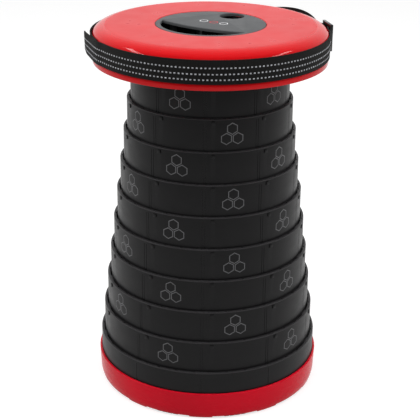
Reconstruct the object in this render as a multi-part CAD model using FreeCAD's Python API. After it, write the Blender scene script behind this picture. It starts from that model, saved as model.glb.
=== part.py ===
"""Telescopic stool: nested rings between a round seat and a base tray.

Millimetres. The origin is on the ground under the middle of the base, and +Z is up. The front of the
stool faces -Y. An azimuth is in degrees, counted from -Y towards +X. The stool is drawn pulled out to
its full height, with every ring turned free so that it can drop into the one below.
"""
import FreeCAD, Part
import math
import os

# Panels that repeat round every ring
panel_count = 10
seam_azimuth = -3.0

# Sliding rings: number 1 is the smallest, the last one stands in the base
ring_count = 10
ring_height = 45.9
ring_rise = 34.75
ring_step = 4.15
ring_wall = 1.8
flange_thickness = 3.0
edge_chamfer = 0.5
slide_gap = 0.3
edge_tolerance = 1e-4

# Grooved band and grip pip at each panel seam
channel_width = 2.8
channel_depth = 0.35
channel_margin = 3.0
pip_offset = 5.4
pip_width = 4.0
pip_height = 3.8
pip_drop = 4.0
pip_proud = 1.0
pip_slope = 0.7

# Twist lock between a ring and the next larger one
key_count = 5
key_angle = 8.0
ledge_angle = 7.0
ledge_thickness = 2.5
turn_gap_angle = 1.2
stop_angle = 1.6
pad_count = 5
pad_angle = 6.0
notch_offset = 5.0
notch_width = 3.0

# Collar that carries the seat
collar_show = 5.75
collar_flange = 3.0
collar_flange_width = 15.05

# Base tray
base_height = 30.8
base_wall = 2.2
base_floor_top = 9.5
base_floor = 2.5
base_under = 2.0
base_draft = 0.8
base_waist = 14.0
base_tuck = 2.4
base_tuck_bulge = 0.5
ring_fit = 0.45
snap_bite = 0.5
snap_height = 2.0
snap_angle = 10.0
snap_level = 15.0
lobe_angle = 12.0
lobe_width = 6.0
lobe_drop = 1.6
lobe_draft = 0.4
rib_thickness = 1.8
base_hub_radius = 28.0

# Rubber feet
foot_circle_inset = 10.0
foot_length = 24.0
foot_width = 11.0
foot_stem_length = 14.0
foot_stem_width = 4.0
foot_stem_height = 3.5
foot_gap = 0.1

# Seat shell
seat_height = 39.0
seat_wall = 2.2
plate_thickness = 3.0
shoulder_width = 13.5
shoulder_drop = 8.7
shoulder_bulge = 1.0
shoulder_run = 4.0
shoulder_run_down = 2.0
shoulder_pull = 5.5
shoulder_pull_up = 4.2
bead_height = 5.6
bead_proud = 0.4
seat_rib_depth = 8.7
seat_rib_thickness = 1.6
outer_rib_count = 10
inner_rib_count = 10
ring_rib_thickness = 1.6

# Hub, insert and handle cup in the middle of the seat
insert_radius = 59.4
insert_thickness = 3.2
insert_gap = 0.4
insert_edge = 0.3
hub_height = 8.0
hub_wall = 5.2
hub_ledge = 2.8
hub_gap = 1.0
grip_edge = 1.0
handle_azimuth = -32.0
slot_margin = 5.4
slot_depth = 30.5
slot_inner_radius = 176.0
slot_corner = 5.5
finger_hole_radius = 13.5
finger_hole_margin = 2.1
cup_depth = 19.2
cup_wall = 2.0
cup_flange = 6.0
cup_inset = 1.0
cup_lip = 0.7
post_radius = 4.0
post_inset = 6.7
post_turns = (84.0, 130.0)

# Screws
screw_radius = 1.9
screw_hole_gap = 0.1
screw_clearance = 0.4
screw_length = 11.0
screw_head_radius = 3.6
screw_head_height = 2.2
screw_head_sides = 6
boss_radius = 4.5
collar_screw_count = 5

# Webbing strap and its slider
strap_width = 25.0
strap_thickness = 1.3
strap_lift = 6.6
strap_seam_start = -60.0
strap_seam_end = -64.0
strap_flare_start = -70.0
strap_tip_azimuth = -85.4
strap_tip_standoff = 7.3
strap_tail_azimuth = -92.8
strap_tail_standoff = 6.5
strap_back_end = 293.0
strap_back_steps = 24
strap_bulge_start = 113.0
strap_bulge_end = 152.0
strap_bulge_out = 4.5
strap_bulge_up = 3.6
strap_end_gap_angle = 1.0
slider_azimuth = 103.5
slider_rail = 3.6
slider_slot = 7.2
slider_bar = 4.4
slider_bar_thickness = 1.8
slider_thickness = 3.7
slider_top_frame = 2.4
slider_bottom_frame = 1.4
slider_corner = 1.0
slider_thread_gap = 0.9

# Positions that follow from the sizes above
panel_pitch = 360.0 / panel_count
ring_overlap = ring_height - ring_rise
key_height = ring_overlap - flange_thickness - slide_gap
key_reach = ring_step - ring_wall - slide_gap
hub_bore = insert_radius + insert_gap - hub_ledge
hub_radius = insert_radius + insert_gap + hub_wall
cup_bore = hub_bore - cup_inset
post_circle = cup_bore - post_radius - post_inset
slot_outer_radius = insert_radius - slot_margin
finger_hole_reach = insert_radius - finger_hole_margin - finger_hole_radius
collar_flange_bore = hub_radius + hub_gap
collar_bore = collar_flange_bore + collar_flange_width
collar_radius = collar_bore + ring_wall
collar_screw_circle = (collar_flange_bore + collar_bore) / 2
base_ring_radius = collar_radius + ring_count * ring_step
base_bore = base_ring_radius + ring_fit
base_radius = base_bore + base_wall
base_ring_top = base_floor_top + slide_gap + ring_height
foot_circle = base_radius - foot_circle_inset
base_mid_radius = (base_hub_radius + foot_circle) / 2
seat_radius = base_radius
seat_bore = seat_radius - seat_wall


def ring_radius(number):
    """Outer radius of a ring; number 0 is the seat's collar."""
    return collar_radius + number * ring_step


def ring_top(number):
    """Height of a ring's top edge with the stool pulled out."""
    return base_ring_top + (ring_count - number) * ring_rise


seat_rim_z = ring_top(1) + collar_show
seat_top = seat_rim_z + seat_height
plate_under = seat_top - plate_thickness
rib_under = plate_under - seat_rib_depth
hub_under = seat_top - hub_height
cup_floor_top = hub_under - cup_depth + cup_wall
strap_under = seat_rim_z + strap_lift
strap_inner = seat_radius + slide_gap


def direction(azimuth):
    """Unit vector that points away from the axis at an azimuth."""
    angle = math.radians(azimuth)
    return FreeCAD.Vector(math.sin(angle), -math.cos(angle), 0)


def place(radius, azimuth, z=0.0):
    """Point at a radius, an azimuth and a height."""
    return direction(azimuth) * radius + FreeCAD.Vector(0, 0, z)


def turned(shape, azimuth):
    """Copy of a shape drawn at azimuth 90 (+X), turned to another azimuth."""
    copy = shape.copy()
    copy.rotate(FreeCAD.Vector(0, 0, 0), FreeCAD.Vector(0, 0, 1), azimuth - 90.0)
    return copy


def section_point(radius, z):
    """Point of a profile in the XZ plane."""
    return FreeCAD.Vector(radius, 0, z)


def profile_face(points):
    """Flat face in the XZ plane from (radius, height) corners."""
    corners = [section_point(r, z) for r, z in points]
    return Part.Face(Part.makePolygon(corners + corners[:1]))


def spun(points, azimuth=90.0, angle=360.0):
    """Solid of revolution of a profile; a part turn is centred on the azimuth."""
    solid = profile_face(points).revolve(FreeCAD.Vector(0, 0, 0), FreeCAD.Vector(0, 0, 1), angle)
    return solid if angle == 360.0 else turned(solid, azimuth - angle / 2)


def sector(inner, outer, low, high, azimuth, angle):
    """Block between two radii and two heights, centred on an azimuth."""
    return spun([(inner, low), (outer, low), (outer, high), (inner, high)], azimuth, angle)


def radial_slab(points, thickness, azimuth):
    """Upright slab with a (radius, height) outline, centred on an azimuth."""
    slab = profile_face(points).extrude(FreeCAD.Vector(0, thickness, 0))
    slab.translate(FreeCAD.Vector(0, -thickness / 2, 0))
    return turned(slab, azimuth)


def post(radius, low, high, centre):
    """Upright cylinder over a point of the plan."""
    return Part.makeCylinder(radius, high - low, FreeCAD.Vector(centre.x, centre.y, low))


def repeat(count, first, make):
    """Solids made at equal steps round the axis, from the first azimuth."""
    return [make(first + index * 360.0 / count) for index in range(count)]


def angle_of(length, radius):
    """Angle in degrees that a length covers on a circle."""
    return math.degrees(length / radius)


def arc_edge(start, middle, end):
    return Part.Arc(start, middle, end).toShape()


def line_edge(start, end):
    return Part.LineSegment(start, end).toShape()


def eased_edge(start, first_pull, second_pull, end):
    """Curve that leaves its start and reaches its end in the directions of the two pulls."""
    curve = Part.BezierCurve()
    curve.setPoles([start, first_pull, second_pull, end])
    return curve.toShape()


def ring_shell(number, bottom):
    """Plain wall of a ring with its inward top flange."""
    radius = ring_radius(number)
    top = ring_top(number)
    bore = radius - ring_wall
    lip = ring_radius(number - 1) + pip_proud + slide_gap
    return spun([
        (bore, bottom), (radius, bottom), (radius, top - edge_chamfer), (radius - edge_chamfer, top),
        (lip, top), (lip, top - flange_thickness), (bore, top - flange_thickness),
    ])


def outer_keys(number, bottom):
    """Keys on the outside of a ring's lower edge, which stop under the next ring's flange."""
    radius = ring_radius(number)
    return repeat(key_count, seam_azimuth + panel_pitch / 2, lambda azimuth: sector(
        radius - ring_wall / 2, radius + key_reach, bottom, bottom + key_height, azimuth, key_angle))


def lock_pockets(number):
    """Ledges beside the keys' channels, each with the stop that ends the turn on to it."""
    bore = ring_radius(number) - ring_wall
    reach = ring_radius(number - 1) + slide_gap
    flange_under = ring_top(number) - flange_thickness
    ledge_top = ring_top(number) - ring_overlap - slide_gap
    ledge_middle = seam_azimuth + panel_pitch / 2 + (key_angle + ledge_angle) / 2 + turn_gap_angle
    stop_middle = ledge_middle + (ledge_angle + stop_angle) / 2
    solids = repeat(key_count, ledge_middle, lambda azimuth: sector(
        reach, bore + ring_wall / 2, ledge_top - ledge_thickness, ledge_top, azimuth, ledge_angle))
    solids += repeat(key_count, stop_middle, lambda azimuth: sector(
        reach, bore + ring_wall / 2, ledge_top - ledge_thickness, flange_under, azimuth, stop_angle))
    return solids


def guide_pads(number):
    """Pads on the flange's edge that keep the smaller ring centred."""
    lip = ring_radius(number - 1) + pip_proud + slide_gap
    reach = ring_radius(number - 1) + slide_gap
    top = ring_top(number)
    return repeat(pad_count, seam_azimuth, lambda azimuth: sector(
        reach, lip + ring_wall / 2, top - flange_thickness, top, azimuth, pad_angle))


def flange_notches(number):
    """Pair of notches in the flange over each panel."""
    lip = ring_radius(number - 1) + slide_gap
    bore = ring_radius(number) - ring_wall
    top = ring_top(number)
    width = angle_of(notch_width, bore)
    notches = []
    for side in (-notch_offset, notch_offset):
        notches += repeat(panel_count, seam_azimuth + panel_pitch / 2 + side, lambda azimuth: sector(
            lip, bore, top - flange_thickness - slide_gap, top + slide_gap, azimuth, width))
    return notches


def seam_channels(number, bottom):
    """Shallow upright bands at the panel seams."""
    radius = ring_radius(number)
    width = angle_of(channel_width, radius)
    return repeat(panel_count, seam_azimuth, lambda azimuth: sector(
        radius - channel_depth, radius + channel_depth, bottom - slide_gap,
        ring_top(number) - channel_margin, azimuth, width))


def grip_pips(number):
    """Small sloped pips under the top edge."""
    radius = ring_radius(number)
    middle = ring_top(number) - pip_drop
    half = pip_height / 2
    outline = [(radius - ring_wall / 2, middle - half), (radius, middle - half),
               (radius + pip_proud, middle - half + pip_slope),
               (radius + pip_proud, middle + half - pip_slope),
               (radius, middle + half), (radius - ring_wall / 2, middle + half)]
    width = angle_of(pip_width, radius)
    return repeat(panel_count, seam_azimuth + pip_offset, lambda azimuth: spun(outline, azimuth, width))


def make_ring(number):
    """One sliding ring, or the fixed one that stands in the base."""
    fixed = number == ring_count
    bottom = base_floor_top if fixed else ring_top(number) - ring_height
    added = lock_pockets(number) + guide_pads(number)
    added += snap_ridges() if fixed else outer_keys(number, bottom) + grip_pips(number)
    ring = ring_shell(number, bottom).cut(seam_channels(number, bottom))
    ring = ring.fuse(added).cut(flange_notches(number))
    return ring.removeSplitter()


def snap_ridges():
    """Ridges on the fixed ring that click into the base's groove."""
    low = base_floor_top + snap_level
    return repeat(key_count, seam_azimuth + panel_pitch / 2, lambda azimuth: spun(
        [(base_ring_radius - ring_wall / 2, low), (base_ring_radius, low),
         (base_bore + snap_bite, low + snap_height / 2), (base_ring_radius, low + snap_height),
         (base_ring_radius - ring_wall / 2, low + snap_height)], azimuth, snap_angle))


def make_collar():
    """Smallest sliding ring, with the flange that the seat is screwed to."""
    bottom = ring_top(1) - ring_overlap
    collar = spun([
        (collar_bore, bottom), (collar_radius, bottom), (collar_radius, plate_under - slide_gap),
        (collar_bore, plate_under - slide_gap), (collar_bore, rib_under),
        (collar_flange_bore, rib_under), (collar_flange_bore, rib_under - collar_flange),
        (collar_bore, rib_under - collar_flange),
    ])
    holes = [post(screw_radius + screw_clearance, rib_under - collar_flange - slide_gap,
                  rib_under + slide_gap, centre) for centre in collar_screw_places()]
    return collar.fuse(outer_keys(0, bottom)).cut(holes).removeSplitter()


def collar_screw_places():
    return [place(collar_screw_circle, index * 360.0 / collar_screw_count)
            for index in range(collar_screw_count)]


def base_skirt_edges():
    """Profile of the tray, with its wall tucked in below the waist."""
    waist = base_radius - base_draft
    foot = base_radius - base_tuck
    middle_z = (base_waist + base_under) / 2
    middle_r = (waist + foot) / 2 + base_tuck_bulge
    floor_under = base_floor_top - base_floor
    point = section_point
    groove_low = base_floor_top + snap_level - slide_gap
    groove_high = groove_low + snap_height + 2 * slide_gap
    groove = base_bore + snap_bite + slide_gap
    corners = [
        point(foot, base_under), point(foot - base_wall, base_under),
        point(foot - base_wall, floor_under), point(0, floor_under), point(0, base_floor_top),
        point(base_bore, base_floor_top), point(base_bore, groove_low),
        point(groove, (groove_low + groove_high) / 2), point(base_bore, groove_high),
        point(base_bore, base_height), point(base_radius - edge_chamfer, base_height),
        point(base_radius, base_height - edge_chamfer), point(waist, base_waist),
    ]
    edges = [line_edge(a, b) for a, b in zip(corners, corners[1:])]
    edges.append(arc_edge(point(waist, base_waist), point(middle_r, middle_z), point(foot, base_under)))
    return edges


def make_base():
    """Tray with a ribbed underside, lobes to stand on and bosses for the rubber feet."""
    tray = Part.Face(Part.Wire(base_skirt_edges())).revolve(
        FreeCAD.Vector(0, 0, 0), FreeCAD.Vector(0, 0, 1), 360)
    floor_under = base_floor_top - base_floor
    joint = floor_under + base_floor / 2
    foot = base_radius - base_tuck
    half = rib_thickness / 2
    rib = [(base_hub_radius, base_under), (foot - base_wall / 2, base_under),
           (foot - base_wall / 2, joint), (base_hub_radius, joint)]
    lobe = [(foot - lobe_width, base_under - lobe_drop), (foot - lobe_draft, base_under - lobe_drop),
            (foot, base_under), (foot - base_wall / 2, joint), (foot - lobe_width, joint)]
    added = repeat(panel_count, seam_azimuth, lambda azimuth: radial_slab(rib, rib_thickness, azimuth))
    added += repeat(panel_count, seam_azimuth, lambda azimuth: spun(lobe, azimuth, lobe_angle))
    added += [sector(r - half, r + half, base_under, joint, 90.0, 360.0)
              for r in (base_hub_radius, base_mid_radius)]
    added += foot_blocks(foot_length, foot_width, base_under, joint)
    sockets = foot_blocks(foot_stem_length + 2 * foot_gap, foot_stem_width + 2 * foot_gap,
                          base_under - slide_gap, base_under + foot_stem_height + foot_gap)
    return tray.fuse(added).cut(sockets).removeSplitter()


def foot_blocks(length, width, low, high):
    """Curved blocks on the feet's circle, one in the middle of each panel."""
    return repeat(panel_count, seam_azimuth + panel_pitch / 2, lambda azimuth: sector(
        foot_circle - width / 2, foot_circle + width / 2, low, high, azimuth,
        angle_of(length, foot_circle)))


def make_feet():
    """Rubber feet, each a curved pad with a tongue pushed up into the tray."""
    pads = foot_blocks(foot_length, foot_width, 0, base_under)
    tongues = foot_blocks(foot_stem_length, foot_stem_width, base_under, base_under + foot_stem_height)
    return Part.makeCompound([pad.fuse(tongue).removeSplitter() for pad, tongue in zip(pads, tongues)])


def seat_profile():
    """Closed profile of the seat: hub, plate, shoulder, side wall and rim bead."""
    flat = seat_radius - shoulder_width
    side_top = seat_top - shoulder_drop
    bulge = shoulder_bulge
    middle = ((flat + seat_radius) / 2 + bulge, (seat_top + side_top) / 2 + bulge)
    bead = seat_radius + bead_proud
    bead_top = seat_rim_z + bead_height
    rebate = insert_radius + insert_gap
    rebate_z = seat_top - insert_thickness
    point = section_point
    inner_start = point(seat_bore, side_top - seat_wall / 2)
    inner_middle = point(middle[0] - seat_wall, middle[1] - seat_wall)
    inner_end = point(flat - seat_wall / 2, plate_under)
    shoulder = [point(flat - shoulder_run, seat_top), point(flat + shoulder_pull, seat_top),
                point(seat_radius, side_top + shoulder_pull_up),
                point(seat_radius, side_top - shoulder_run_down)]
    lower = [shoulder[-1], point(seat_radius, bead_top),
             point(bead, bead_top - edge_chamfer), point(bead, seat_rim_z + edge_chamfer),
             point(bead - edge_chamfer, seat_rim_z), point(seat_bore, seat_rim_z), inner_start]
    hub = [inner_end, point(hub_radius, plate_under), point(hub_radius, hub_under),
           point(hub_bore, hub_under), point(hub_bore, rebate_z), point(rebate, rebate_z),
           point(rebate, seat_top), shoulder[0]]
    edges = [eased_edge(*shoulder)]
    edges += [line_edge(a, b) for a, b in zip(lower, lower[1:])]
    edges.append(arc_edge(inner_start, inner_middle, inner_end))
    edges += [line_edge(a, b) for a, b in zip(hub, hub[1:])]
    return Part.Wire(edges)


def make_seat():
    """Seat shell with ribs and screw bosses under its plate."""
    shell = Part.Face(seat_profile()).revolve(FreeCAD.Vector(0, 0, 0), FreeCAD.Vector(0, 0, 1), 360)
    joint = plate_under + plate_thickness / 2
    side_top = seat_top - shoulder_drop
    flat = seat_radius - shoulder_width
    outer = [(collar_radius + slide_gap * 2, rib_under), (seat_bore + seat_wall / 2, rib_under),
             (seat_bore + seat_wall / 2, side_top - seat_wall / 2), (flat, joint),
             (collar_radius + slide_gap * 2, joint)]
    inner = [(hub_radius, rib_under + slide_gap), (collar_bore - slide_gap, rib_under + slide_gap),
             (collar_bore - slide_gap, joint), (hub_radius - hub_wall / 2, joint),
             (hub_radius - hub_wall / 2, hub_under + hub_wall / 2), (hub_radius, hub_under)]
    added = []
    for count, outline in ((outer_rib_count, outer), (inner_rib_count, inner)):
        added += repeat(count, 180.0 / count,
                        lambda azimuth: radial_slab(outline, seat_rib_thickness, azimuth))
    ring_rib = (collar_radius + seat_bore) / 2
    added.append(sector(ring_rib - ring_rib_thickness / 2, ring_rib + ring_rib_thickness / 2,
                        rib_under, joint, 90.0, 360.0))
    added += [post(boss_radius, rib_under, joint, centre) for centre in collar_screw_places()]
    pilots = [post(screw_radius + screw_hole_gap, rib_under - slide_gap,
                   rib_under - collar_flange + screw_length + slide_gap, centre)
              for centre in collar_screw_places()]
    return shell.fuse(added).cut(pilots).removeSplitter()


def post_places():
    return [place(post_circle, handle_azimuth + side * turn) for turn in post_turns for side in (-1, 1)]


def hand_slot(low, high):
    """Crescent between the slot's two arcs, with rounded ends."""
    plug = post(slot_outer_radius, low, high, FreeCAD.Vector(0, 0, 0))
    bite = post(slot_inner_radius, low - slide_gap, high + slide_gap,
                direction(handle_azimuth) * (slot_outer_radius - slot_depth - slot_inner_radius))
    crescent = plug.cut(bite)
    upright = [edge for edge in crescent.Edges
               if isinstance(edge.Curve, Part.Line) and edge.BoundBox.ZLength > edge_tolerance]
    return crescent.makeFillet(slot_corner, upright)


def flat_edges(solid, z):
    """Edges that lie wholly at one height."""
    return [edge for edge in solid.Edges
            if max(abs(edge.BoundBox.ZMin - z), abs(edge.BoundBox.ZMax - z)) < edge_tolerance]


def make_insert():
    """Flush grip plate with the hand slot, the finger hole and four screw posts."""
    low = seat_top - insert_thickness
    plate = post(insert_radius, low, seat_top, FreeCAD.Vector(0, 0, 0))
    plate = plate.cut(hand_slot(low - slide_gap, seat_top + slide_gap))
    plate = plate.cut(post(finger_hole_radius, low - slide_gap, seat_top + slide_gap,
                           place(-finger_hole_reach, handle_azimuth)))
    for rim, width in ((True, insert_edge), (False, grip_edge)):
        edges = [edge for edge in flat_edges(plate, seat_top)
                 if (edge.BoundBox.DiagonalLength > 2 * insert_radius) == rim]
        plate = plate.makeChamfer(width, edges)
    posts = [post(post_radius, cup_floor_top, low + insert_thickness / 2, centre)
             for centre in post_places()]
    pilots = [post(screw_radius + screw_hole_gap, cup_floor_top - slide_gap,
                   cup_floor_top - cup_wall + screw_length + slide_gap, centre)
              for centre in post_places()]
    return plate.fuse(posts).cut(pilots).removeSplitter()


def make_cup():
    """Closed recess that the fingers curl into, clamped under the seat's hub and lining its bore."""
    outer = cup_bore + cup_wall
    edge = outer + cup_flange
    floor_under = cup_floor_top - cup_wall
    flange_under = hub_under - cup_wall
    lip = cup_bore + cup_lip
    lip_top = seat_top - insert_thickness - slide_gap
    cup = spun([
        (0, floor_under), (outer, floor_under), (outer, flange_under), (edge, flange_under),
        (edge, hub_under), (lip, hub_under), (lip, lip_top), (cup_bore, lip_top),
        (cup_bore, cup_floor_top), (0, cup_floor_top),
    ])
    holes = [post(screw_radius + screw_clearance, floor_under - slide_gap, cup_floor_top + slide_gap,
                  centre) for centre in post_places()]
    return cup.cut(holes)


def screws(places, seat_z):
    """Hexagon-headed screws with their heads under a height."""
    made = []
    for centre in places:
        corners = [centre + direction(360.0 * side / screw_head_sides) * screw_head_radius
                   for side in range(screw_head_sides + 1)]
        head = Part.Face(Part.makePolygon(corners)).extrude(FreeCAD.Vector(0, 0, screw_head_height))
        head.translate(FreeCAD.Vector(0, 0, seat_z - screw_head_height))
        made.append(head.fuse(post(screw_radius, seat_z, seat_z + screw_length, centre)))
    return Part.makeCompound(made)


def slider_point(across, out):
    """Point beside the slider: along the seat's tangent there, and away from the seat's axis."""
    return direction(slider_azimuth + 90.0) * across + direction(slider_azimuth) * out


def slider_levels():
    """Distances from the axis of the slider's inner face, bar and outer face."""
    inner = strap_inner + strap_thickness + slider_thread_gap
    bar_top = inner + slider_bar_thickness
    return inner, bar_top, inner + slider_thickness


def threaded_path(offset):
    """Corners of one face of the webbing where it goes over the slider's bar."""
    inner, bar_top, _ = slider_levels()
    low = strap_inner + offset
    high = bar_top + slide_gap + offset
    half_bar = slider_bar / 2
    near = half_bar + slider_slot - slider_thread_gap - (strap_thickness - offset) / 2
    far = half_bar + slider_thread_gap + offset / 2
    end = near + slider_rail + strap_thickness
    return [slider_point(-end, low), slider_point(-near, low + slide_gap),
            slider_point(-far, high), slider_point(far, high),
            slider_point(near, low + slide_gap), slider_point(end, low - slide_gap)]


def strap_face_edges(offset):
    """One face of the front strap in plan, from its free tip to its end past the slider."""
    radius = strap_inner + offset
    over = radius + strap_thickness + slide_gap
    thread = threaded_path(offset)
    reach = slider_azimuth - math.degrees(math.asin(
        slider_point(0, 1).cross(thread[0]).Length / thread[0].Length))
    tip, tail = strap_tips(offset)
    edges = [line_edge(tail, tip), line_edge(tip, place(over, strap_flare_start))]
    middle = (strap_flare_start + strap_seam_end) / 2
    edges.append(arc_edge(place(over, strap_flare_start), place(over, middle), place(over, strap_seam_end)))
    edges.append(line_edge(place(over, strap_seam_end), place(radius, strap_seam_start)))
    last = reach - strap_end_gap_angle
    middle = (strap_seam_start + last) / 2
    edges.append(arc_edge(place(radius, strap_seam_start), place(radius, middle), place(radius, last)))
    points = [place(radius, last)] + thread
    edges += [line_edge(a, b) for a, b in zip(points, points[1:])]
    return edges


def strap_tips(offset):
    """Ends of the free tip in plan: its upper corner, and its lower corner further back."""
    return (place(seat_radius + strap_tip_standoff + offset, strap_tip_azimuth),
            place(seat_radius + strap_tail_standoff + offset, strap_tail_azimuth))


def make_strap_front():
    """Webbing round the front: slanted free tip at the left, threaded through the slider at the right."""
    inner = strap_face_edges(0.0)
    outer = strap_face_edges(strap_thickness)
    start = line_edge(inner[0].Vertexes[0].Point, outer[0].Vertexes[0].Point)
    end = line_edge(inner[-1].Vertexes[-1].Point, outer[-1].Vertexes[-1].Point)
    outline = Part.Wire(Part.__sortEdges__(inner + [end] + outer + [start]))
    strap = Part.Face(outline).extrude(FreeCAD.Vector(0, 0, strap_width))
    tip, tail = strap_tips(-strap_thickness)
    past = tail + (tail - tip)
    rise = FreeCAD.Vector(0, 0, strap_width)
    corners = [tip + rise, tail, past, past + rise * 2, tip + rise * 2, tip + rise]
    slant = Part.Face(Part.makePolygon(corners))
    strap = strap.cut(slant.extrude(direction(strap_tip_azimuth) * 3 * strap_thickness))
    strap.translate(FreeCAD.Vector(0, 0, strap_under))
    return strap


def back_bulge(azimuth):
    """How far the rear webbing stands off and rides up: (outwards, upwards)."""
    if not strap_bulge_start < azimuth < strap_bulge_end:
        return 0.0, 0.0
    turn = (azimuth - strap_bulge_start) / (strap_bulge_end - strap_bulge_start)
    share = math.sin(math.pi * turn)
    return strap_bulge_out * share, strap_bulge_up * share


def make_strap_back():
    """Webbing round the rear, with the loose bulge behind the slider."""
    last_corner = threaded_path(0.0)[-1]
    reach = angle_of(slider_point(0, 1).cross(last_corner).Length, strap_inner)
    start = slider_azimuth + reach + strap_end_gap_angle
    sections = []
    for index in range(strap_back_steps + 1):
        azimuth = start + (strap_back_end - start) * index / strap_back_steps
        out, up = back_bulge(azimuth)
        inner = strap_inner + out
        outer = inner + strap_thickness
        low = strap_under + up
        corners = [place(inner, azimuth, low), place(outer, azimuth, low),
                   place(outer, azimuth, low + strap_width), place(inner, azimuth, low + strap_width)]
        sections.append(Part.makePolygon(corners + corners[:1]))
    return Part.makeLoft(sections, True, False)


def make_slider():
    """Ladder slider: two rails, a sunk bar between two slots."""
    inner, bar_top, outer = slider_levels()
    half = slider_bar / 2 + slider_slot + slider_rail
    low = strap_under - slide_gap - slider_bottom_frame
    high = strap_under + strap_width + slide_gap + slider_top_frame
    body = Part.makeBox(outer - inner, 2 * half, high - low, FreeCAD.Vector(inner, -half, low))
    long_edges = [edge for edge in body.Edges if edge.BoundBox.XMin > outer - edge_tolerance]
    body = body.makeFillet(slider_corner, long_edges)
    slot_low = strap_under - slide_gap
    slot_high = strap_under + strap_width + slide_gap
    cuts = []
    for side in (-1, 1):
        first = side * (slider_bar / 2 + slider_slot / 2) - slider_slot / 2
        cuts.append(Part.makeBox(outer, slider_slot, slot_high - slot_low,
                                 FreeCAD.Vector(inner - slide_gap, first, slot_low)))
    cuts.append(Part.makeBox(outer, slider_bar + slider_slot, slot_high - slot_low,
                             FreeCAD.Vector(bar_top, -(slider_bar + slider_slot) / 2, slot_low)))
    return turned(body.cut(cuts).removeSplitter(), slider_azimuth)


def main():
    parts = {
        "base_tray": make_base(),
        "rubber_feet": make_feet(),
        "seat_collar": make_collar(),
        "seat_shell": make_seat(),
        "seat_insert": make_insert(),
        "handle_cup": make_cup(),
        "insert_screws": screws(post_places(), cup_floor_top - cup_wall),
        "collar_screws": screws(collar_screw_places(), rib_under - collar_flange),
        "strap_front": make_strap_front(),
        "strap_back": make_strap_back(),
        "strap_slider": make_slider(),
    }
    for number in range(1, ring_count + 1):
        parts[f"ring_{number:02d}"] = make_ring(number)
    os.makedirs("parts", exist_ok=True)
    for name, shape in parts.items():
        shape.exportStep(f"parts/{name}.step")
        volume = round(shape.Volume / 1000, 2)
        print(name, len(shape.Solids), "solids, valid", shape.isValid(), volume, "cm3")


main()
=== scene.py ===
"""Looks of a telescopic stool: ten nested rings between a round seat and a base tray.

Metres. The origin is on the ground under the middle of the base, +Z is up and the front faces -Y.
An azimuth is in degrees, counted from -Y towards +X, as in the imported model.
"""

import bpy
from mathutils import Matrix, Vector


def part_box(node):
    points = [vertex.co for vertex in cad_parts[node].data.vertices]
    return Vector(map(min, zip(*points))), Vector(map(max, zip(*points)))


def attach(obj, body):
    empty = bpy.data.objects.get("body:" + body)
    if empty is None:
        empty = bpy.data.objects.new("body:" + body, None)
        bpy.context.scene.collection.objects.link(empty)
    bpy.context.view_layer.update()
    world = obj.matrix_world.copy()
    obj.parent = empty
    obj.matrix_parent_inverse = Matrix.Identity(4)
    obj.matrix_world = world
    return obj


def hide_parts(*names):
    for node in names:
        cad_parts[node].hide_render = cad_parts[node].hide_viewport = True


bl_info = {
    "name": "Telescopic stool",
    "version": (1, 0, 0),
    "blender": (4, 5, 0),
    "location": "3D View > Sidebar > Stool",
    "description": "Models the visible pieces of a telescopic stool round its packed frame",
    "category": "Object",
}

import math

import bpy
from mathutils import Matrix, Vector

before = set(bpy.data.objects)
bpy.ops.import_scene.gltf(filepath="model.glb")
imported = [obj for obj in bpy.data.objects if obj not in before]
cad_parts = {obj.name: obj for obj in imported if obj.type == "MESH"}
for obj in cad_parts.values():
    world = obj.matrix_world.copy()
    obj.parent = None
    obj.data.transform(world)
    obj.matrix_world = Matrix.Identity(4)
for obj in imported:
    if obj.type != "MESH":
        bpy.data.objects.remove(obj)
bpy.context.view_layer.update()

MM = 0.001
TURN = math.tau
RINGS = 10
PANELS = 10
SEAM_AZIMUTH = -3.0
PANEL_PITCH = 360.0 / PANELS
PANEL_MIDDLE = SEAM_AZIMUTH + PANEL_PITCH / 2
KEYS = 5
SLIDE_GAP = 0.3 * MM
SPIN_STEPS = 240
WELD = 0.01 * MM
SMOOTH_ANGLE = 30.0
SHARP_ANGLE = 50.0
WALL_NORMAL = 0.3
END_NORMAL = 0.9
# How much lighter the painted highlight line along the rings' rims is than the rings' black
PAINTED_HIGHLIGHT_TINT = 4.5


def node_low(node):
    """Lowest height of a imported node."""
    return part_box(node)[0].z


def node_high(node):
    """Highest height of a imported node."""
    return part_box(node)[1].z


def length_property(name, default, description):
    """A length that a user may change, in metres."""
    return bpy.props.FloatProperty(name=name, default=default, description=description,
                                   subtype="DISTANCE", unit="LENGTH", precision=5)


def colour_property(name, default, description):
    """A colour that a user may change."""
    return bpy.props.FloatVectorProperty(name=name, default=default, description=description,
                                         subtype="COLOR", size=3, min=0.0, max=1.0)


class StoolSizes(bpy.types.PropertyGroup):
    """Sizes of the visible pieces."""
    collar_radius: length_property("Collar radius", 82.85 * MM, "Outer radius of the collar under the seat")
    ring_step: length_property("Ring step", 4.15 * MM, "How much wider each ring is than the one inside it")
    ring_wall: length_property("Ring wall", 1.8 * MM, "Thickness of a ring's wall")
    ring_flange: length_property("Ring flange", 3.0 * MM, "Height of a ring's inward lip")
    seat_radius: length_property("Seat radius", 127.0 * MM, "Radius of the seat's side")
    base_radius: length_property("Base radius", 127.0 * MM, "Radius of the tray's rim")
    insert_radius: length_property("Insert radius", 59.4 * MM, "Radius of the seat's middle plate")
    strap_width: length_property("Strap width", 25.0 * MM, "Width of the webbing")
    strap_thickness: length_property("Strap thickness", 1.3 * MM, "Thickness of the webbing")


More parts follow.
